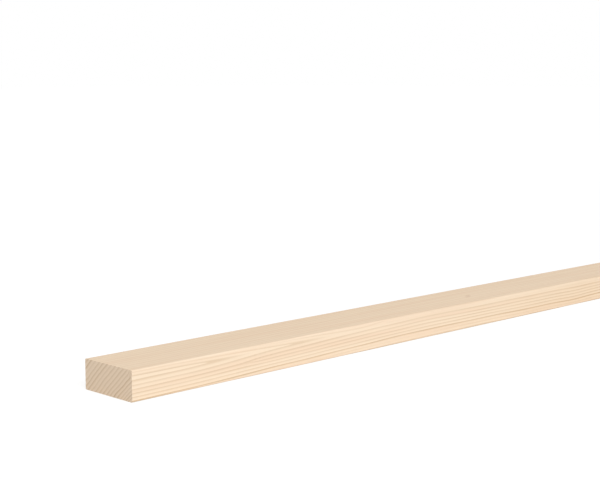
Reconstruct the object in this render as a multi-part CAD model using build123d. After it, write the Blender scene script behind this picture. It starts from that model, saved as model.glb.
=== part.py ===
from build123d import *

import os

# Planed softwood strip of rectangular section, sawn as one piece and lying on its wide face.
# X runs along the grain, Y across the wide face and Z up through the thickness.
# The origin is at the middle of the underside.

# Driving dimensions, in millimetres
LENGTH = 900.0  # cross-cut square at both ends
WIDTH = 36.0  # wide faces, planed
THICKNESS = 15.0  # narrow edges, planed
ARRIS_RADIUS = 0.5  # easing of the four long arrises, which the planer leaves; the saw leaves none

PARTS_FOLDER = "parts"


def planed_section():
    """The planed cross-section with its eased arrises, standing on the Y axis."""
    outline = RectangleRounded(WIDTH, THICKNESS, ARRIS_RADIUS)
    return Plane.YZ * Pos(0, THICKNESS / 2) * outline


def wood_strip():
    """The section drawn out along the grain, half of the length to each side of the origin."""
    return extrude(planed_section(), amount=LENGTH / 2, both=True)


os.makedirs(PARTS_FOLDER, exist_ok=True)
export_step(wood_strip(), os.path.join(PARTS_FOLDER, "wood_strip.step"))
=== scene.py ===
"""Dresses a planed softwood strip: raised grain on its planed faces, sawn ends, and pale, bare wood."""

import logging
import math
from dataclasses import dataclass, field
from enum import Enum
from typing import Any

import bmesh
import bpy
import numpy as np
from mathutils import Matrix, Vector, noise


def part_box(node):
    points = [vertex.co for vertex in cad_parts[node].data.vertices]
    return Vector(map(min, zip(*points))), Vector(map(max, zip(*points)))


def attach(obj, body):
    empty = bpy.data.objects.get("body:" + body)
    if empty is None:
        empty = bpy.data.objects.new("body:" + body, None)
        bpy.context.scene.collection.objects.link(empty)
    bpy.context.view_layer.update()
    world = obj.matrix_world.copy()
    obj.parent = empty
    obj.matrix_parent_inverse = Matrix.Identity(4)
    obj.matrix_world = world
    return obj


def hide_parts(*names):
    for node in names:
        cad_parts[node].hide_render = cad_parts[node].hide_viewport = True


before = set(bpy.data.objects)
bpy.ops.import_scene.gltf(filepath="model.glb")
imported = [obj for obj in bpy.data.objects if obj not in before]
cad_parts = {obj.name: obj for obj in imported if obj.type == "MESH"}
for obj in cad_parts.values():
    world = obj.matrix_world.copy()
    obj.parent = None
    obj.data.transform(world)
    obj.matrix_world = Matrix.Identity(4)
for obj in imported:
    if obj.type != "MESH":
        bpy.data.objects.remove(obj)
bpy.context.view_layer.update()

logger = logging.getLogger("wood_strip")

MM = 0.001
# Points closer together than this count as touching
TOLERANCE = 0.001 * MM
# An edge runs along an axis, and a point lies on the planed surface, from these shares of 1
ALONG_AXIS = 0.999
ON_SURFACE = 0.99
HALF_YEAR = 0.5
QUARTER_TURN_DEG = 90.0
PHOTO_WIDTH_PX = 600
SENSOR_WIDTH_MM = 36.0
RING_ATTRIBUTE = "growth_years"
ARRIS_HIGHLIGHT_ATTRIBUTE = "painted_arris_highlight"

Pair = tuple[float, float]
Triple = tuple[float, float, float]
Tree = bpy.types.NodeTree
Socket = bpy.types.NodeSocket


class Surface(Enum):
    """How a face of the strip was made; the value is its material's place on the mesh."""

    PLANED = 0
    SAWN = 1


def linear(hex_colour: str) -> tuple[float, float, float, float]:
    """Turns an sRGB hex colour into the linear colour that shaders take.

    Args:
        hex_colour: six hex digits, with or without a leading hash.

    Returns:
        Linear red, green, blue and an alpha of 1.
    """
    # The numbers are the sRGB standard's own
    digits = hex_colour.lstrip("#")
    shares = [int(digits[place:place + 2], 16) / 255 for place in (0, 2, 4)]
    red, green, blue = (s / 12.92 if s <= 0.04045 else ((s + 0.055) / 1.055) ** 2.4 for s in shares)
    return red, green, blue, 1.0


def add_node(
    tree: Tree, kind: str, inputs: dict[int | str, Any] | None = None, output: int | str = 0, **settings: Any
) -> Socket | None:
    """Adds a shader node with its settings, values and links.

    Args:
        tree: the node tree that takes the node.
        kind: Blender's name for the node, without the word ShaderNode.
        inputs: for each socket, by name or place, a value or another node's output.
        output: the output that is handed on, by name or place.
        settings: the node's own properties.

    Returns:
        That output of the new node, or None from a node that ends the tree.
    """
    node = tree.nodes.new("ShaderNode" + kind)
    for name, value in settings.items():
        setattr(node, name, value)
    for socket, value in (inputs or {}).items():
        if isinstance(value, Socket):
            tree.links.new(value, node.inputs[socket])
        else:
            node.inputs[socket].default_value = value
    return node.outputs[output] if node.outputs else None


def empty_tree(owner: bpy.types.Material | bpy.types.World) -> Tree:
    """Turns nodes on for a material or world and clears them.

    Args:
        owner: the material or world.

    Returns:
        Its node tree, with nothing in it.
    """
    owner.use_nodes = True
    owner.node_tree.nodes.clear()
    return owner.node_tree


class Bend(Enum):
    """How the grain leaves its straight line along the strip."""

    WAVE = "wave"
    STEP = "step"
    BUMP = "bump"


@dataclass(frozen=True)
class GrainBend:
    """One rise or fall of the grain, in millimetres from the left end."""

    shape: Bend
    height: float
    place: float
    length: float

    def at(self, along: np.ndarray) -> np.ndarray:
        """The rise at distances along the strip.

        Args:
            along: distances from the left end.

        Returns:
            How far the grain stands over its straight line there.
        """
        reach = (along - self.place) / self.length
        if self.shape is Bend.WAVE:
            return self.height * np.sin(2 * math.pi * reach)
        if self.shape is Bend.STEP:
            return self.height / 2 * np.tanh(reach)
        return self.height * np.exp(-reach**2)


@dataclass(frozen=True)
class Unevenness:
    """A soft random wander of the rings, in millimetres."""

    depth: float
    length: float
    width: float

    def at(self, along: np.ndarray, across: np.ndarray, up: np.ndarray) -> np.ndarray:
        """The wander at points of the strip.

        Args:
            along: distances from the left end.
            across: distances from the middle of the width.
            up: heights over the underside.

        Returns:
            How far the rings stray there.
        """
        places = np.column_stack([along / self.length, across / self.width, up / self.width])
        return self.depth * np.array([noise.noise(Vector(place)) for place in places])


@dataclass(frozen=True)
class PinKnot:
    """The base of a needle-thin branch, cut at a slant by the top face, in millimetres from the left end."""

    along: float = 266.0
    across: float = -3.0
    length: float = 7.5
    width: float = 2.4
    lean_deg: float = 33.0
    reach: float = 6.0


@dataclass(frozen=True)
class ResinPatch:
    """A long warm patch of resin-rich wood on the front, round a dip that a buried branch left in the grain.

    Sizes are in millimetres from the left end and the underside. The patch fades over its length along the
    strip, over its depth into the wood, and over its reach up and down.
    """

    along: float = 420.0
    height: float = 7.5
    length: float = 220.0
    depth: float = 6.0
    reach: float = 40.0


@dataclass(frozen=True)
class GrainCrest:
    """A long crest of the rings under the front's upper arris, in millimetres.

    The planed front cuts each ring below the crest and once more above it, so its lines run together in long
    points, as they do on any face that is cut almost along the rings.
    """

    height: float = 12.5
    lifts: tuple[GrainBend, ...] = (
        GrainBend(Bend.STEP, 0.6, 75.0, 25.5),
        GrainBend(Bend.STEP, 1.33, 167.0, 11.5),
    )
    turn: float = 0.12
    fall: float = 2.28
    depth: float = 1.6

    def at(self, along: np.ndarray, inside: np.ndarray, up: np.ndarray) -> np.ndarray:
        """How far the rings are held up over their even slope.

        Args:
            along: distance from the left end.
            inside: distance in from the front face.
            up: height over the underside.

        Returns:
            The rise at each point.
        """
        height = self.height + sum(lift.at(along) for lift in self.lifts)
        over = self.turn * np.logaddexp(0.0, (up - height) / self.turn)
        return self.fall * over * np.exp(-((inside / self.depth) ** 2))


@dataclass(frozen=True)
class GrowthRings:
    """The tree's yearly rings as they pass through the strip, in millimetres.

    The strip was sawn far out from the pith, so the rings cross its end as almost straight lines. One hard
    year left a dark ring among narrow ones, and some years outside it the rings widen as the tree recovered.
    Each bend is a stretch where the trunk grew unevenly, and the lines on the front rise and fall with it.
    """

    pith_across: float = -268.0
    pith_up: float = -290.0
    narrow_width: float = 1.36
    narrow_reach: float = 3.6
    width_settled: float = 2.15
    recovery: float = 4.5
    dark_height: float = 2.6
    spread: GrainBend = GrainBend(Bend.WAVE, 0.05, 133.0, 760.0)
    crest: GrainCrest = GrainCrest()
    bends: tuple[GrainBend, ...] = (
        GrainBend(Bend.WAVE, 1.72, 95.0, 760.0),
        GrainBend(Bend.WAVE, 0.4, 142.0, 211.0),
        GrainBend(Bend.STEP, 1.0, 49.5, 33.0),
        GrainBend(Bend.BUMP, -0.62, 359.0, 18.5),
    )
    wander: tuple[Unevenness, ...] = (Unevenness(0.2, 115.0, 6.0), Unevenness(0.2, 30.0, 4.0))
    knot: PinKnot = PinKnot()
    knot_swirl: float = 1.1
    # How far the swirl reaches along and across, in lengths and widths of the knot
    swirl_spread: Pair = (4.0, 2.0)

    def years(
        self, along: np.ndarray, across: np.ndarray, up: np.ndarray, front: float, top: float
    ) -> np.ndarray:
        """Counts the rings outward from the dark one.

        Args:
            along: distance from the left end.
            across: distance from the middle of the width.
            up: height over the underside.
            front: the front face's place across the strip, where the dark ring's mean height is known.
            top: the top face's height, where the knot comes out.

        Returns:
            The ring number at each point, whole where one year ends.
        """
        dark_radius = math.hypot(front - self.pith_across, self.dark_height - self.pith_up)
        slope_share = (self.dark_height - self.pith_up) / dark_radius
        radius = np.hypot(across - self.pith_across, up - self.pith_up)
        rise = sum(bend.at(along) for bend in self.bends) + self.crest.at(along, across - front, up)
        wander = sum(uneven.at(along, across, up) for uneven in self.wander)
        outward = radius - dark_radius - slope_share * rise + wander - self._swirl(along, across, top - up)
        outward = outward / (1 + self.spread.at(along))
        narrow = np.minimum(outward, self.narrow_reach) / self.narrow_width
        growth = np.exp(np.maximum(outward - self.narrow_reach, 0.0) / self.recovery)
        lag = self.width_settled - self.narrow_width
        wider = np.log((self.width_settled * growth - lag) / self.narrow_width)
        return narrow + wider * self.recovery / self.width_settled

    def _swirl(self, along: np.ndarray, across: np.ndarray, below: np.ndarray) -> np.ndarray:
        """How far the rings bulge round the knot.

        Args:
            along: distance from the left end.
            across: distance from the middle of the width.
            below: depth under the top face.

        Returns:
            The bulge at each point.
        """
        knot = self.knot
        spread_along, spread_across = self.swirl_spread
        past = (along - knot.along) / (spread_along * knot.length)
        beside = (across - knot.across) / (spread_across * knot.width)
        return self.knot_swirl * np.exp(-(past**2) - beside**2 - (below / knot.reach) ** 2)


@dataclass(frozen=True)
class RingStart:
    """The point where a ring that is missing nearer the left end comes in, in millimetres.

    A starved tree skips a year on part of its trunk. The ring starts between its neighbours as a point and
    pushes them apart, so the count of rings differs by one year once round the point. The mesh carries the
    smooth count, and the finishes take the lost year off it, because a mesh would smear the jump over a face.
    """

    along: float = 75.0
    height: float = 7.3
    # The count turns this much faster with height than along the strip
    steepness: float = 5.3
    # Where and how slowly the neighbours give way, and the run over which ring numbers settle
    yield_along: float = 72.5
    yield_length: float = 21.4
    settle_length: float = 15.0

    def lost_years(self, tree: Tree, left: float) -> Socket:
        """Finds how far the count falls behind.

        Args:
            tree: the material's nodes.
            left: the left end's place, in metres.

        Returns:
            The lost part of a year: 0 before and below the point, and a whole year above and past it.
        """
        past, over = self._from_point(tree, left)
        steep = add_node(tree, "Math", {0: over, 1: self.steepness}, operation="MULTIPLY")
        before = add_node(tree, "Math", {0: past, 1: -1.0}, operation="MULTIPLY")
        angle = add_node(tree, "Math", {0: steep, 1: before}, operation="ARCTAN2")
        lead = (self.along - self.yield_along) / self.yield_length
        per_metre = 1 / (self.yield_length * MM)
        run = add_node(tree, "Math", {0: past, 1: per_metre, 2: lead}, operation="MULTIPLY_ADD")
        yielded = add_node(tree, "Math", {0: run}, operation="TANH")
        # The yield gives half a year from left to right, and the angle round the point adds or takes a half
        half = HALF_YEAR / 2
        level = add_node(tree, "Math", {0: yielded, 1: half, 2: half}, operation="MULTIPLY_ADD")
        return add_node(tree, "Math", {0: angle, 1: 1 / (2 * math.pi), 2: level}, operation="MULTIPLY_ADD")

    def later_ring(self, tree: Tree, left: float) -> Socket:
        """Finds where a ring's number is one short, so that each ring keeps one number past the point.

        Args:
            tree: the material's nodes.
            left: the left end's place, in metres.

        Returns:
            A value that rises to 1 above and past the point, and is 0 elsewhere.
        """
        past, over = self._from_point(tree, left)
        above = add_node(tree, "Math", {0: over, 1: 0.0}, operation="GREATER_THAN")
        settled = self.settle_length * MM
        return add_node(
            tree, "MapRange", {"Value": past, "From Min": 0.0, "From Max": settled, "To Max": above}
        )

    def _from_point(self, tree: Tree, left: float) -> tuple[Socket, Socket]:
        """Finds the distances past the point and over it, in metres.

        Args:
            tree: the material's nodes.
            left: the left end's place, in metres.

        Returns:
            The distance along the strip and the height over the point.
        """
        place = add_node(tree, "TexCoord", output="Object")
        along = add_node(tree, "SeparateXYZ", {0: place}, output="X")
        up = add_node(tree, "SeparateXYZ", {0: place}, output="Z")
        past = add_node(tree, "Math", {0: along, 1: left + self.along * MM}, operation="SUBTRACT")
        over = add_node(tree, "Math", {0: up, 1: self.height * MM}, operation="SUBTRACT")
        return past, over


@dataclass(frozen=True)
class SoftwoodFinish:
    """What the strip's two surfaces share: the rings, pale in spring wood and tan in summer wood.

    In each year the line starts to show at fade_in, is darkest from line_peak to line_end, and ends with the
    year. Its contrast comes and goes along the strip, between the two values of ring_contrast. The line of
    the hard year has dark_ring more of it, and the line of the year before has pale_ring less.
    """

    name: str
    spring_wood: str
    summer_wood: str
    roughness: float
    fade_in: float
    ring_contrast: Pair
    dark_ring: float
    pale_ring: float
    relief_strength: float
    relief_depth: float
    # Rings are counted outward from where the hard year ends
    hard_year: float = -1.0
    dark_fade_in: float = 0.35
    line_peak: float = 0.92
    line_end: float = 0.95
    gloss: float = 0.25
    # A line keeps its strength for about this many millimetres, and each ring has its own noise
    strength_length: float = 45.0
    strength_apart: float = 7.3
    strength_range: Pair = (0.3, 0.7)
    ring_start: RingStart = RingStart()

    def ring_darkness(self, tree: Tree, left: float) -> Socket:
        """Draws the rings from the strip's own ring numbers.

        Args:
            tree: the material's nodes.
            left: the left end's place, in metres.

        Returns:
            A value from 0 in spring wood to about 1 where summer wood ends a year.
        """
        years = add_node(tree, "Attribute", output="Fac", attribute_name=RING_ATTRIBUTE)
        lost = self.ring_start.lost_years(tree, left)
        years = add_node(tree, "Math", {0: years, 1: lost}, operation="SUBTRACT")
        part = add_node(tree, "Math", {0: years}, operation="FRACT")
        year = add_node(tree, "Math", {0: years}, operation="FLOOR")
        hard = add_node(tree, "Math", {0: year, 1: self.hard_year, 2: HALF_YEAR}, operation="COMPARE")
        fade_in = add_node(
            tree, "MapRange", {"Value": hard, "To Min": self.fade_in, "To Max": self.dark_fade_in}
        )
        darkening = add_node(
            tree, "MapRange", {"Value": part, "From Min": fade_in, "From Max": self.line_peak},
            interpolation_type="SMOOTHSTEP",
        )
        ending = add_node(
            tree, "MapRange",
            {"Value": part, "From Min": self.line_end, "From Max": 1.0, "To Min": 1.0, "To Max": 0.0},
            interpolation_type="SMOOTHSTEP",
        )
        line = add_node(tree, "Math", {0: darkening, 1: ending}, operation="MULTIPLY")
        number = add_node(tree, "Math", {0: year, 1: self.ring_start.later_ring(tree, left)})
        strength = self._ring_strength(tree, number)
        contrast = add_node(
            tree, "Math", {0: hard, 1: self.dark_ring, 2: strength}, operation="MULTIPLY_ADD"
        )
        earlier = add_node(
            tree, "Math", {0: year, 1: self.hard_year - 1, 2: HALF_YEAR}, operation="COMPARE"
        )
        contrast = add_node(
            tree, "Math", {0: earlier, 1: -self.pale_ring, 2: contrast}, operation="MULTIPLY_ADD"
        )
        return add_node(tree, "Math", {0: line, 1: contrast}, operation="MULTIPLY")

    def _ring_strength(self, tree: Tree, year: Socket) -> Socket:
        """Makes each ring's line come and go along the strip in its own way.

        Args:
            tree: the material's nodes.
            year: the ring's number.

        Returns:
            The line's contrast.
        """
        place = add_node(tree, "TexCoord", output="Object")
        along = add_node(tree, "SeparateXYZ", {0: place}, output="X")
        lengths = add_node(tree, "Math", {0: along, 1: self.strength_length * MM}, operation="DIVIDE")
        apart = add_node(tree, "Math", {0: year, 1: self.strength_apart}, operation="MULTIPLY")
        spot = add_node(tree, "CombineXYZ", {"X": lengths, "Y": apart})
        chance = add_node(
            tree, "TexNoise", {"Vector": spot, "Scale": 1.0, "Detail": 1.0},
            output="Fac", noise_dimensions="2D",
        )
        low, high = self.strength_range
        faint, clear = self.ring_contrast
        return add_node(
            tree, "MapRange",
            {"Value": chance, "From Min": low, "From Max": high, "To Min": faint, "To Max": clear},
        )

    def streaks(self, tree: Tree, size: Triple, detail: float) -> Socket:
        """Draws a soft noise whose marks have a real size.

        Args:
            tree: the material's nodes.
            size: a mark's length, width and height in millimetres.
            detail: how many finer layers the noise has.

        Returns:
            A value about 0.5, from 0 to 1.
        """
        place = add_node(tree, "TexCoord", output="Object")
        scale = tuple(1 / (millimetres * MM) for millimetres in size)
        stretched = add_node(tree, "Mapping", {"Vector": place, "Scale": scale})
        return add_node(
            tree, "TexNoise", {"Vector": stretched, "Scale": 1.0, "Detail": detail}, output="Fac"
        )

    def toned(self, tree: Tree, colour: Socket, marks: Socket, depth: float) -> Socket:
        """Lightens and darkens a colour by a noise.

        Args:
            tree: the material's nodes.
            colour: the colour to change.
            marks: a value about 0.5.
            depth: the share of brightness between the noise's ends.

        Returns:
            The changed colour.
        """
        darkest, lightest = 1 - depth / 2, 1 + depth / 2
        level = add_node(tree, "MapRange", {"Value": marks, "To Min": darkest, "To Max": lightest})
        return add_node(tree, "VectorMath", {0: colour, 1: level}, operation="MULTIPLY")

    def layered(self, tree: Tree, colour: Any, layers: list[tuple[Socket, str]]) -> Socket:
        """Lays tones of the wood over each other.

        Args:
            tree: the material's nodes.
            colour: the tone under them all, a linear colour or a node's output.
            layers: for each tone its share and its hex colour.

        Returns:
            The colour of all of them together.
        """
        for share, tone in layers:
            mixed = {0: share, 6: colour, 7: linear(tone)}
            colour = add_node(tree, "Mix", mixed, output=2, data_type="RGBA")
        return colour

    def shade(self, tree: Tree, colour: Socket, relief: Socket) -> None:
        """Joins the colour and the fine relief into bare wood.

        Args:
            tree: the material's nodes.
            colour: the wood's colour.
            relief: the height of its fibres or pores, from 0 to 1.
        """
        bump = add_node(
            tree, "Bump",
            {"Height": relief, "Strength": self.relief_strength, "Distance": self.relief_depth * MM},
        )
        shader = add_node(
            tree, "BsdfPrincipled",
            {
                "Base Color": colour, "Roughness": self.roughness,
                "Specular IOR Level": self.gloss, "Normal": bump,
            },
        )
        add_node(tree, "OutputMaterial", {"Surface": shader})


@dataclass(frozen=True)
class PlanedSoftwood(SoftwoodFinish):
    """Spruce, planed along the grain and left bare.

    The cutters leave a smooth, matt face: cream spring wood between thin tan lines, fine fibres along the
    length and broad faint bands of pinker wood. The rings fade toward the top, which has an even, warmer tone
    and one pin knot. Resin warms part of the front, and its upper arris carries a painted highlight: a paler
    tone where the rounded edge would catch the light.
    """

    name: str = "planed_spruce"
    spring_wood: str = "#F9E4CA"
    summer_wood: str = "#D7BA96"
    roughness: float = 0.65
    fade_in: float = 0.35
    ring_contrast: Pair = (0.41, 0.62)
    dark_ring: float = 0.36
    pale_ring: float = 0.33
    relief_strength: float = 0.4
    relief_depth: float = 0.03
    # The rings fade between these heights, which come down by the drop over the run, all in millimetres
    full_height: float = 12.3
    faint_height: float = 15.0
    faint_share: float = 0.45
    faint_run: float = 200.0
    faint_drop: float = 1.2
    even_wood: str = "#E2B680"
    even_share: float = 0.145
    even_depth: float = 0.5
    band_wood: str = "#F1D2B5"
    # A painted highlight on the front's upper arris: a paler tone where its rounding would catch the light
    highlight_wood: str = "#FFEFDA"
    highlight_share: float = 0.25
    # Real fibres are about 0.03 mm thick, too fine to show, so they are drawn as coarser bundles
    fibre_size: Triple = (45.0, 0.5, 0.5)
    fibre_depth: float = 0.09
    band_size: Triple = (110.0, 3.2, 3.2)
    band_range: Pair = (0.42, 0.68)
    band_share: float = 0.4
    spot_core: float = 0.15
    knot: PinKnot = PinKnot()
    knot_wood: str = "#B58058"
    knot_share: float = 0.2
    resin: ResinPatch = ResinPatch()
    resin_wood: str = "#E6BE8C"
    resin_share: float = 0.15
    # How much clearer the ring lines are in wood that resin has soaked
    resin_lines: float = 1.5

    def material(self, low: Vector, high: Vector) -> bpy.types.Material:
        """Makes the planed faces' material.

        Args:
            low: the strip's lowest corner, in metres.
            high: the strip's highest corner, in metres.

        Returns:
            The new material.
        """
        made = bpy.data.materials.new(self.name)
        tree = empty_tree(made)
        resin = self.resin
        resin_place = (low.x + resin.along * MM, low.y, low.z + resin.height * MM)
        resin_size = (resin.length, resin.depth, resin.reach)
        patch = self._soft_spot(tree, resin_place, resin_size, 0.0, self.resin_share)
        knot = self.knot
        knot_place = (low.x + knot.along * MM, (low.y + high.y) / 2 + knot.across * MM, high.z)
        knot_size = (knot.length, knot.width, knot.reach)
        spot = self._soft_spot(tree, knot_place, knot_size, knot.lean_deg, self.knot_share)
        grain = [
            (self._bands(tree), self.band_wood),
            (self._lines(tree, low.x, patch), self.summer_wood),
            (self._near_top(tree, high.z), self.even_wood),
        ]
        # Painted highlight: the front's upper arris is mixed toward a paler tone
        highlight = add_node(tree, "Attribute", output="Fac", attribute_name=ARRIS_HIGHLIGHT_ATTRIBUTE)
        highlight = add_node(tree, "Math", {0: highlight, 1: self.highlight_share}, operation="MULTIPLY")
        marks = [(highlight, self.highlight_wood), (patch, self.resin_wood), (spot, self.knot_wood)]
        fibres = self.streaks(tree, self.fibre_size, detail=2.0)
        colour = self.layered(tree, linear(self.spring_wood), grain)
        colour = self.toned(tree, colour, fibres, self.fibre_depth)
        self.shade(tree, self.layered(tree, colour, marks), fibres)
        return made

    def _bands(self, tree: Tree) -> Socket:
        """Draws broad faint bands along the grain.

        Args:
            tree: the material's nodes.

        Returns:
            The share of the bands' tone.
        """
        low, high = self.band_range
        bands = self.streaks(tree, self.band_size, detail=1.0)
        return add_node(
            tree, "MapRange", {"Value": bands, "From Min": low, "From Max": high, "To Max": self.band_share}
        )

    def _lines(self, tree: Tree, left: float, patch: Socket) -> Socket:
        """Draws the rings' lines, fainter toward the top and clearer where resin has soaked the wood.

        Args:
            tree: the material's nodes.
            left: the left end's place, in metres.
            patch: the resin's share.

        Returns:
            The share of summer wood.
        """
        place = add_node(tree, "TexCoord", output="Object")
        along = add_node(tree, "SeparateXYZ", {0: place}, output="X")
        up = add_node(tree, "SeparateXYZ", {0: place}, output="Z")
        right = left + self.faint_run * MM
        drop = add_node(
            tree, "MapRange",
            {"Value": along, "From Min": left, "From Max": right, "To Max": self.faint_drop * MM},
        )
        height = add_node(tree, "Math", {0: up, 1: drop})
        share = add_node(
            tree, "MapRange",
            {
                "Value": height, "From Min": self.full_height * MM, "From Max": self.faint_height * MM,
                "To Min": 1.0, "To Max": self.faint_share,
            },
        )
        rings = add_node(tree, "Math", {0: self.ring_darkness(tree, left), 1: share}, operation="MULTIPLY")
        soaked = add_node(tree, "Math", {0: patch, 1: self.resin_lines, 2: 1.0}, operation="MULTIPLY_ADD")
        return add_node(tree, "Math", {0: rings, 1: soaked}, operation="MULTIPLY")

    def _near_top(self, tree: Tree, top: float) -> Socket:
        """Finds the top face, whose colour is mixed toward an even, warmer tone.

        Args:
            tree: the material's nodes.
            top: the top face's height, in metres.

        Returns:
            A value from 0 under the face to the tone's share on it.
        """
        place = add_node(tree, "TexCoord", output="Object")
        height = add_node(tree, "SeparateXYZ", {0: place}, output="Z")
        under = top - self.even_depth * MM
        return add_node(
            tree, "MapRange", {"Value": height, "From Min": under, "From Max": top, "To Max": self.even_share}
        )

    def _soft_spot(self, tree: Tree, place: Triple, size: Triple, lean_deg: float, share: float) -> Socket:
        """Finds a soft oval spot in the wood.

        Args:
            tree: the material's nodes.
            place: the spot's middle, in metres.
            size: its reach along, across and up, in millimetres.
            lean_deg: how far it leans across the grain.
            share: its strength in the middle.

        Returns:
            A value from 0 outside the spot to the share in its middle.
        """
        centred = add_node(
            tree, "Mapping",
            {
                "Vector": add_node(tree, "TexCoord", output="Object"),
                "Location": place,
                "Rotation": (0.0, 0.0, math.radians(lean_deg)),
                "Scale": tuple(reach * MM for reach in size),
            },
            vector_type="TEXTURE",
        )
        reach = add_node(tree, "VectorMath", {0: centred}, output="Value", operation="LENGTH")
        return add_node(
            tree, "MapRange",
            {"Value": reach, "From Min": self.spot_core, "From Max": 1.0, "To Min": share, "To Max": 0.0},
            interpolation_type="SMOOTHSTEP",
        )


@dataclass(frozen=True)
class SawnEndGrain(SoftwoodFinish):
    """Spruce cut across the grain with a circular saw.

    The open ends of the fibres drink in the light, so the end is darker than the faces, with clear ring
    lines, fine pores and the saw's faint curved scratches.
    """

    name: str = "sawn_spruce_end_grain"
    spring_wood: str = "#F5DEC4"
    summer_wood: str = "#D6BA97"
    roughness: float = 0.8
    fade_in: float = 0.3
    ring_contrast: Pair = (0.25, 0.85)
    dark_ring: float = 0.1
    pale_ring: float = 0.0
    relief_strength: float = 0.5
    relief_depth: float = 0.05
    # Real pores are too fine to show, so they are drawn as coarser groups
    pore_size: Triple = (4.0, 0.4, 0.4)
    pore_depth: float = 0.1

    def material(self, low: Vector) -> bpy.types.Material:
        """Makes the sawn ends' material.

        Args:
            low: the strip's lowest corner, in metres.

        Returns:
            The new material.
        """
        made = bpy.data.materials.new(self.name)
        tree = empty_tree(made)
        rings = self.ring_darkness(tree, low.x)
        pores = self.streaks(tree, self.pore_size, detail=2.0)
        colour = self.layered(tree, linear(self.spring_wood), [(rings, self.summer_wood)])
        self.shade(tree, self.toned(tree, colour, pores, self.pore_depth), pores)
        return made


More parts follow.
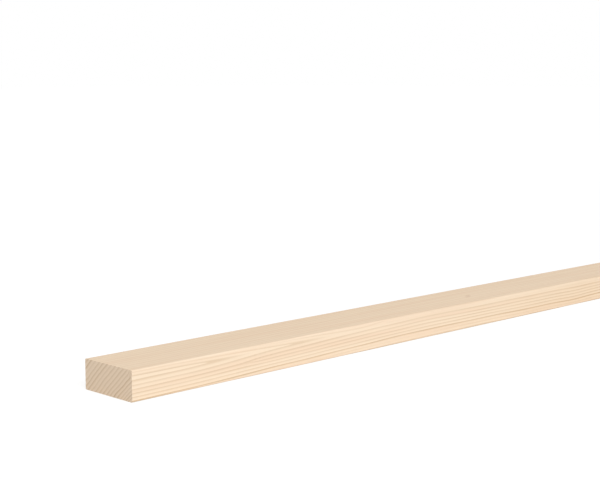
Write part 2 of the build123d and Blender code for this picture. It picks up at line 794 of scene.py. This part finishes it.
@dataclass
class WoodStrip:
    """The strip itself, in metres: a planed blank with raised grain, rubbed arrises and sawn ends."""

    low: Vector
    high: Vector
    node: str = "wood_strip"
    slot: str = "planed_softwood"
    body: str = "root"
    arris: float = 0.5 * MM
    arris_segments: int = 4
    step_along: float = 6.0 * MM
    step_across: float = 0.45 * MM
    grain_depth: float = 0.02 * MM
    # The part of the year at which spring wood is softest
    softest_part: float = 0.35
    rub_depth: float = 0.1 * MM
    rub_length: float = 35.0 * MM
    # The painted highlight on the front's upper arris: how far it reaches from the arris, and its least
    # strength
    highlight_reach: float = 0.9 * MM
    highlight_least: float = 0.6
    # The saw's middle, across and up from the middle of the end's lower edge
    saw_centre: Pair = (-40.0 * MM, -135.0 * MM)
    saw_pitch: float = 2.2 * MM
    saw_depth: float = 0.03 * MM
    # On the bake's square: the gap between pieces, the planed sheet's share, and the step between the ends
    bake_gap: float = 0.008
    bake_sheet: float = 0.865
    bake_end_step: float = 0.3
    rings: GrowthRings = field(default_factory=GrowthRings)

    @property
    def size(self) -> Vector:
        """Length, width and thickness."""
        return self.high - self.low

    @property
    def start(self) -> np.ndarray:
        """The middle of the left end's lower edge, from which places are counted."""
        return np.array((self.low.x, (self.low.y + self.high.y) / 2, self.low.z))

    @property
    def half_flat(self) -> np.ndarray:
        """Half of the flat width and of the flat height between the arrises, in millimetres."""
        return np.array((self.size.y, self.size.z)) / MM / 2 - self.arris / MM

    def build(self) -> bpy.types.Object:
        """Models the strip and gives it its ring numbers, relief and bake map.

        Returns:
            The new object, riding on the strip's body.
        """
        blank = self._blank()
        mesh = bpy.data.meshes.new("planed_strip")
        blank.to_mesh(mesh)
        blank.free()
        strip = bpy.data.objects.new("planed_strip", mesh)
        bpy.context.scene.collection.objects.link(strip)
        self._unroll(mesh)
        self._count_rings(mesh)
        self._wear(mesh)
        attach(strip, self.body)
        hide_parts(self.node)
        return strip

    def dress(self, strip: bpy.types.Object) -> None:
        """Gives the planed and sawn faces their finishes.

        Args:
            strip: the object that build made.
        """
        finishes = {
            Surface.PLANED: PlanedSoftwood().material(self.low, self.high),
            Surface.SAWN: SawnEndGrain().material(self.low),
        }
        for surface in Surface:
            strip.data.materials.append(finishes[surface])

    def _blank(self) -> bmesh.types.BMesh:
        """Planes the blank: a bar with eased arrises, divided finely enough to carry its relief.

        Returns:
            The closed mesh, with its ends marked as sawn.
        """
        blank = bmesh.new()
        bmesh.ops.create_cube(blank, size=1.0)
        bmesh.ops.scale(blank, vec=self.size, verts=blank.verts)
        bmesh.ops.translate(blank, vec=(self.low + self.high) / 2, verts=blank.verts)
        bmesh.ops.bevel(
            blank, geom=self._edges_along(blank, 0), offset=self.arris, offset_type="OFFSET",
            segments=self.arris_segments, profile=0.5, affect="EDGES", material=-1,
        )
        bmesh.ops.delete(blank, geom=self._ends(blank), context="FACES_ONLY")
        steps = (self.step_along, self.step_across, self.step_across)
        flat = (self.size.x, self.size.y - 2 * self.arris, self.size.z - 2 * self.arris)
        for axis in range(3):
            cuts = round(flat[axis] / steps[axis]) - 1
            bmesh.ops.subdivide_edges(
                blank, edges=self._edges_along(blank, axis), cuts=cuts, use_grid_fill=True
            )
        rims = [edge for edge in blank.edges if edge.is_boundary]
        bmesh.ops.holes_fill(blank, edges=rims, sides=0)
        for axis in (1, 2):
            self._slice_ends(blank, axis, flat[axis], round(flat[axis] / self.step_across))
        bmesh.ops.recalc_face_normals(blank, faces=blank.faces)
        for face in blank.faces:
            face.smooth = True
            face.material_index = Surface.PLANED.value
        for face in self._ends(blank):
            face.material_index = Surface.SAWN.value
        for edge in blank.edges:
            edge.smooth = len({face.material_index for face in edge.link_faces}) == 1
        return blank

    def _edges_along(self, blank: bmesh.types.BMesh, axis: int) -> list[bmesh.types.BMEdge]:
        """Finds the straight edges along one axis.

        Args:
            blank: the mesh to search.
            axis: 0, 1 or 2 for X, Y or Z.

        Returns:
            The edges, arrises' short steps left out.
        """
        found = []
        for edge in blank.edges:
            run = edge.verts[1].co - edge.verts[0].co
            if abs(run[axis]) > max(ALONG_AXIS * run.length, self.arris):
                found.append(edge)
        return found

    def _ends(self, blank: bmesh.types.BMesh) -> list[bmesh.types.BMFace]:
        """The faces that look along the strip."""
        return [face for face in blank.faces if abs(face.normal.x) > ALONG_AXIS]

    def _slice_ends(self, blank: bmesh.types.BMesh, axis: int, flat: float, cells: int) -> None:
        """Cuts the two ends into strips that meet the long faces' own divisions.

        Args:
            blank: the mesh with plain ends.
            axis: the axis that the cuts stand across.
            flat: how much of that axis is flat between the arrises.
            cells: how many strips the flat is cut into.
        """
        middle = (self.low[axis] + self.high[axis]) / 2
        normal = Vector()
        normal[axis] = 1.0
        for cut in range(1, cells):
            place = normal * (middle - flat / 2 + flat * cut / cells)
            ends = self._ends(blank)
            around = {part for face in ends for part in (*face.verts, *face.edges)}
            bmesh.ops.bisect_plane(
                blank, geom=[*ends, *around], dist=TOLERANCE, plane_co=place, plane_no=normal
            )

    def _places(self, mesh: bpy.types.Mesh) -> np.ndarray:
        """Reads where the mesh's vertices are.

        Args:
            mesh: the strip's mesh.

        Returns:
            Millimetres from the left end, from the middle of the width and from the underside.
        """
        flat = np.empty(len(mesh.vertices) * 3)
        mesh.vertices.foreach_get("co", flat)
        return (flat.reshape(-1, 3) - self.start) / MM

    def _section(self, places: np.ndarray) -> tuple[np.ndarray, np.ndarray]:
        """Splits each point's place in the section in two.

        Args:
            places: points in millimetres, as _places gives them.

        Returns:
            The nearest point of the core inside the arrises, across and up from the section's middle, and the
            way out from it, which is as long as the arris on the planed surface and shorter inside it.
        """
        section = places[:, 1:] - np.array((0.0, self.size.z / MM / 2))
        core = np.clip(section, -self.half_flat, self.half_flat)
        return core, section - core

    def _count_rings(self, mesh: bpy.types.Mesh) -> None:
        """Writes each vertex's ring number to the mesh.

        Args:
            mesh: the divided strip.
        """
        along, across, up = self._places(mesh).T
        years = self.rings.years(along, across, up, -self.size.y / MM / 2, self.size.z / MM)
        mesh.attributes.new(RING_ATTRIBUTE, "FLOAT", "POINT").data.foreach_set("value", years)

    def _wear(self, mesh: bpy.types.Mesh) -> None:
        """Sinks the spring wood, rubs the arrises and scores the ends, always inwards.

        Args:
            mesh: the divided strip, with its ring numbers.
        """
        places = self._places(mesh)
        outward = self._section(places)[1] / (self.arris / MM)
        # The noise runs from -1 to 1, and handling from 0 to 1
        handled = np.array([
            0.5 + 0.5 * noise.noise(Vector((along * MM / self.rub_length, across, up)))
            for along, across, up in places
        ])
        # Paints a highlight along the front's upper arris
        self._paint_arris_highlight(mesh, places, handled)
        moved = places * MM
        moved[:, 1:] -= outward * self._sunk(mesh, outward, handled)[:, None]
        moved[:, 0] += self._scored(moved)
        mesh.vertices.foreach_set("co", (moved + self.start).ravel())
        mesh.update()

    def _sunk(self, mesh: bpy.types.Mesh, outward: np.ndarray, handled: np.ndarray) -> np.ndarray:
        """How far planing and handling have worn the surface down.

        The soft spring wood lies lower than the lines. It follows the smooth count of rings, without the ring
        that starts late, which only the colour shows.

        Args:
            mesh: the divided strip, with its ring numbers.
            outward: the way out of the section, of length 1 on the planed surface.
            handled: how much each point was handled, from 0 to 1.

        Returns:
            The wear in metres, 0 inside the ends.
        """
        years = np.empty(len(mesh.vertices))
        mesh.attributes[RING_ATTRIBUTE].data.foreach_get("value", years)
        planed = np.linalg.norm(outward, axis=1) > ON_SURFACE
        spring = 0.5 + 0.5 * np.cos(2 * math.pi * (years - np.floor(years) - self.softest_part))
        corner = 2 * np.abs(outward[:, 0] * outward[:, 1])
        return planed * (self.grain_depth * spring + self.rub_depth * corner * handled)

    def _paint_arris_highlight(self, mesh: bpy.types.Mesh, places: np.ndarray, handled: np.ndarray) -> None:
        """Marks the front's upper arris for a painted highlight: a paler tone where its rounding catches the
        light.

        Args:
            mesh: the divided strip.
            places: points in millimetres, as _places gives them.
            handled: how much each point was handled, from 0 to 1, which sets the painted highlight's
                strength.
        """
        half_width, half_height = self.size.y / MM / 2, self.size.z / MM / 2
        beside = half_width - np.abs(places[:, 1])
        below = half_height - np.abs(places[:, 2] - half_height)
        from_arris = np.hypot(beside, below) * MM
        # The highlight is painted only on the front's upper arris
        front_upper = (places[:, 1] < 0) & (places[:, 2] > half_height)
        share = self.highlight_least + (1 - self.highlight_least) * handled
        highlight = front_upper * np.exp(-((from_arris / self.highlight_reach) ** 2)) * share
        mesh.attributes.new(ARRIS_HIGHLIGHT_ATTRIBUTE, "FLOAT", "POINT").data.foreach_set("value", highlight)

    def _scored(self, places: np.ndarray) -> np.ndarray:
        """How far the saw's teeth have scored the ends, in arcs round the saw's middle.

        Args:
            places: points in metres from the start.

        Returns:
            The move of each point along the strip, 0 between the ends.
        """
        across, up = self.saw_centre
        swing = np.hypot(places[:, 1] - across, places[:, 2] - up)
        score = 0.5 + 0.5 * np.sin(2 * math.pi * swing / self.saw_pitch)
        on_left = np.abs(places[:, 0]) < TOLERANCE
        on_right = np.abs(places[:, 0] - self.size.x) < TOLERANCE
        return np.select([on_left, on_right], [1.0, -1.0]) * self.saw_depth * score

    def _round_section(self, places: np.ndarray) -> np.ndarray:
        """Measures the way round the section: up the back, over the top, down the front and back below.

        Args:
            places: points in millimetres, as _places gives them.

        Returns:
            The distance of each point from the foot of the back.
        """
        core, out = self._section(places)
        half_width, half_height = self.half_flat
        # Rounded, so that a direction a hair below zero doesn't count as almost a whole turn
        turn = np.round(np.arctan2(out[:, 1], out[:, 0]), 4) % (2 * math.pi)
        first_half = half_height + core[:, 1] + half_width - core[:, 0]
        second_half = 2 * self.half_flat.sum() + half_height - core[:, 1] + half_width + core[:, 0]
        before_front = turn < round(math.pi, 2)
        return self.arris / MM * turn + np.where(before_front, first_half, second_half)

    def _unroll(self, mesh: bpy.types.Mesh) -> None:
        """Lays the faces out flat for a bake: the planed ones as one sheet, with the ends beside it.

        Args:
            mesh: the divided strip, before its relief.
        """
        places = self._places(mesh)
        round_section = self._round_section(places)
        girth = 4 * self.half_flat.sum() + 2 * math.pi * self.arris / MM
        width, height = self.size.y / MM, self.size.z / MM
        gap, sheet = self.bake_gap, self.bake_sheet
        end_scale = (1 - sheet - 3 * gap) / height
        layer = mesh.uv_layers.new(name="OFBake")
        for face in mesh.polygons:
            corners = list(face.vertices)
            spots = places[corners]
            if face.material_index == Surface.SAWN.value:
                on_right = spots[0, 0] > self.size.x / MM / 2
                for loop, spot in zip(face.loop_indices, spots):
                    layer.uv[loop].vector = (
                        sheet + 2 * gap + spot[2] * end_scale,
                        gap + on_right * self.bake_end_step + (spot[1] + width / 2) * end_scale,
                    )
                continue
            around = round_section[corners]
            # A face over the seam has corners from both ends of the way round
            if np.ptp(around) > girth / 2:
                around = np.where(around < girth / 2, around + girth, around)
            for loop, spot, turned in zip(face.loop_indices, spots, around):
                layer.uv[loop].vector = (
                    gap + spot[0] * MM / self.size.x * (sheet - gap),
                    gap + turned / girth * (1 - 2 * gap),
                )


@dataclass(frozen=True)
class SoftLight:
    """A square soft box, in metres and watts."""

    name: str
    place: Triple
    aim: Triple
    width: float
    power: float

    def build(self) -> bpy.types.Object:
        """Hangs the light and turns it to its aim.

        Returns:
            The light.
        """
        lamp = bpy.data.lights.new(self.name, "AREA")
        lamp.shape = "SQUARE"
        lamp.size = self.width
        lamp.energy = self.power
        light = bpy.data.objects.new(self.name, lamp)
        light.location = self.place
        facing = Vector(self.aim) - Vector(self.place)
        light.rotation_euler = facing.to_track_quat("-Z", "Y").to_euler()
        light.visible_camera = False
        bpy.context.scene.collection.objects.link(light)
        return light


@dataclass(frozen=True)
class Studio:
    """A white table under an even white sky, with one soft box high behind the camera.

    To the eye the table glows by itself, a little more far from the strip, so that it reads as white. Only
    its shadow_share takes light and shade.
    """

    table_reach: float = 12.0
    table_drop: float = 0.1 * MM
    table_white: str = "#E6E6E6"
    shadow_share: float = 0.3
    near_glow: float = 0.775
    far_glow: float = 0.84
    near_reach: float = 0.2
    far_reach: float = 1.3
    sky_white: str = "#FFFFFF"
    sky_light: float = 0.6
    key: SoftLight = SoftLight("key_light", (-0.9, -1.9, 1.39), (-0.25, 0.0, 0.0), 1.4, 29.4)

    def build(self) -> list[bpy.types.Object]:
        """Sets up the table, the sky and the light.

        Returns:
            The table and the light.
        """
        self._sky()
        return [self._table(), self.key.build()]

    def _seen(self, tree: Tree) -> Socket:
        """Tells what is looked at from what only gives light.

        Args:
            tree: the node tree of the table or the sky.

        Returns:
            A value of 1 for what the camera, a reflection or a clear body sees, and 0 for light that fills.
        """
        seen = add_node(tree, "LightPath", output="Is Camera Ray")
        for other in ("Is Glossy Ray", "Is Transmission Ray"):
            ray = add_node(tree, "LightPath", output=other)
            seen = add_node(tree, "Math", {0: seen, 1: ray}, operation="MAXIMUM")
        return seen

    def _sky(self) -> None:
        """Makes the world: plain white to the eye, and a soft fill on everything."""
        world = bpy.data.worlds.new("white_sky")
        bpy.context.scene.world = world
        tree = empty_tree(world)
        colour = linear(self.sky_white)
        fill = add_node(tree, "Background", {"Color": colour, "Strength": self.sky_light})
        white = add_node(tree, "Background", {"Color": colour, "Strength": 1.0})
        shown = add_node(tree, "MixShader", {0: self._seen(tree), 1: fill, 2: white})
        add_node(tree, "OutputWorld", {"Surface": shown})

    def _table(self) -> bpy.types.Object:
        """Makes the white table, which keeps a faint shadow.

        Returns:
            The table.
        """
        top = bmesh.new()
        bmesh.ops.create_grid(top, x_segments=1, y_segments=1, size=self.table_reach)
        bmesh.ops.translate(top, vec=(0.0, 0.0, -self.table_drop), verts=top.verts)
        mesh = bpy.data.meshes.new("table")
        top.to_mesh(mesh)
        top.free()
        table = bpy.data.objects.new("table", mesh)
        bpy.context.scene.collection.objects.link(table)
        white = bpy.data.materials.new("white_table")
        tree = empty_tree(white)
        card = add_node(tree, "BsdfDiffuse", {"Color": linear(self.table_white)})
        shade = (*[self.shadow_share] * 3, 1.0)
        shadow = add_node(tree, "BsdfDiffuse", {"Color": shade})
        place = add_node(tree, "TexCoord", output="Object")
        reach = add_node(tree, "VectorMath", {0: place}, output="Value", operation="LENGTH")
        strength = add_node(
            tree, "MapRange",
            {
                "Value": reach, "From Min": self.near_reach, "From Max": self.far_reach,
                "To Min": self.near_glow, "To Max": self.far_glow,
            },
        )
        glow = add_node(tree, "Emission", {"Strength": strength})
        lit = add_node(tree, "AddShader", {0: shadow, 1: glow})
        shown = add_node(tree, "MixShader", {0: self._seen(tree), 1: card, 2: lit})
        add_node(tree, "OutputMaterial", {"Surface": shown})
        mesh.materials.append(white)
        return table


@dataclass(frozen=True)
class TableCamera:
    """A camera beside the strip's left end, level across and tilted a little down.

    Its place is counted in millimetres from the end's nearest lower corner.
    """

    lens_px: float = 1286.0
    turn_deg: float = 45.19
    tilt_deg: float = -7.324
    place: Triple = (-348.4, -459.1, 148.2)

    def build(self, corner: Vector) -> bpy.types.Object:
        """Sets the camera up and makes it the scene's own.

        Args:
            corner: the nearest lower corner of the strip's left end, in metres.

        Returns:
            The camera.
        """
        lens = bpy.data.cameras.new("table_camera")
        lens.sensor_width = SENSOR_WIDTH_MM
        lens.lens = self.lens_px * SENSOR_WIDTH_MM / PHOTO_WIDTH_PX
        camera = bpy.data.objects.new("table_camera", lens)
        camera.location = corner + Vector(self.place) * MM
        # An unturned camera looks straight down, and a quarter turn stands it up to look along Y
        pitch = math.radians(QUARTER_TURN_DEG + self.tilt_deg)
        heading = math.radians(self.turn_deg - QUARTER_TURN_DEG)
        camera.rotation_euler = (pitch, 0.0, heading)
        bpy.context.scene.collection.objects.link(camera)
        bpy.context.scene.camera = camera
        return camera


def main() -> None:
    """Builds the strip, then the studio and camera round it."""
    logging.basicConfig(level=logging.INFO, format="%(name)s: %(message)s")
    bpy.context.scene.view_settings.view_transform = "Standard"
    wood_strip = WoodStrip(*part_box("wood_strip"))
    strip = wood_strip.build()
    wood_strip.dress(strip)
    logger.info("%s: %d faces", strip.name, len(strip.data.polygons))
    for part in Studio().build():
        logger.info("%s at %s", part.name, tuple(round(place, 3) for place in part.location))
    camera = TableCamera().build(wood_strip.low)
    logger.info("%s: %.1f mm lens", camera.name, camera.data.lens)


if __name__ == "__main__":
    main()
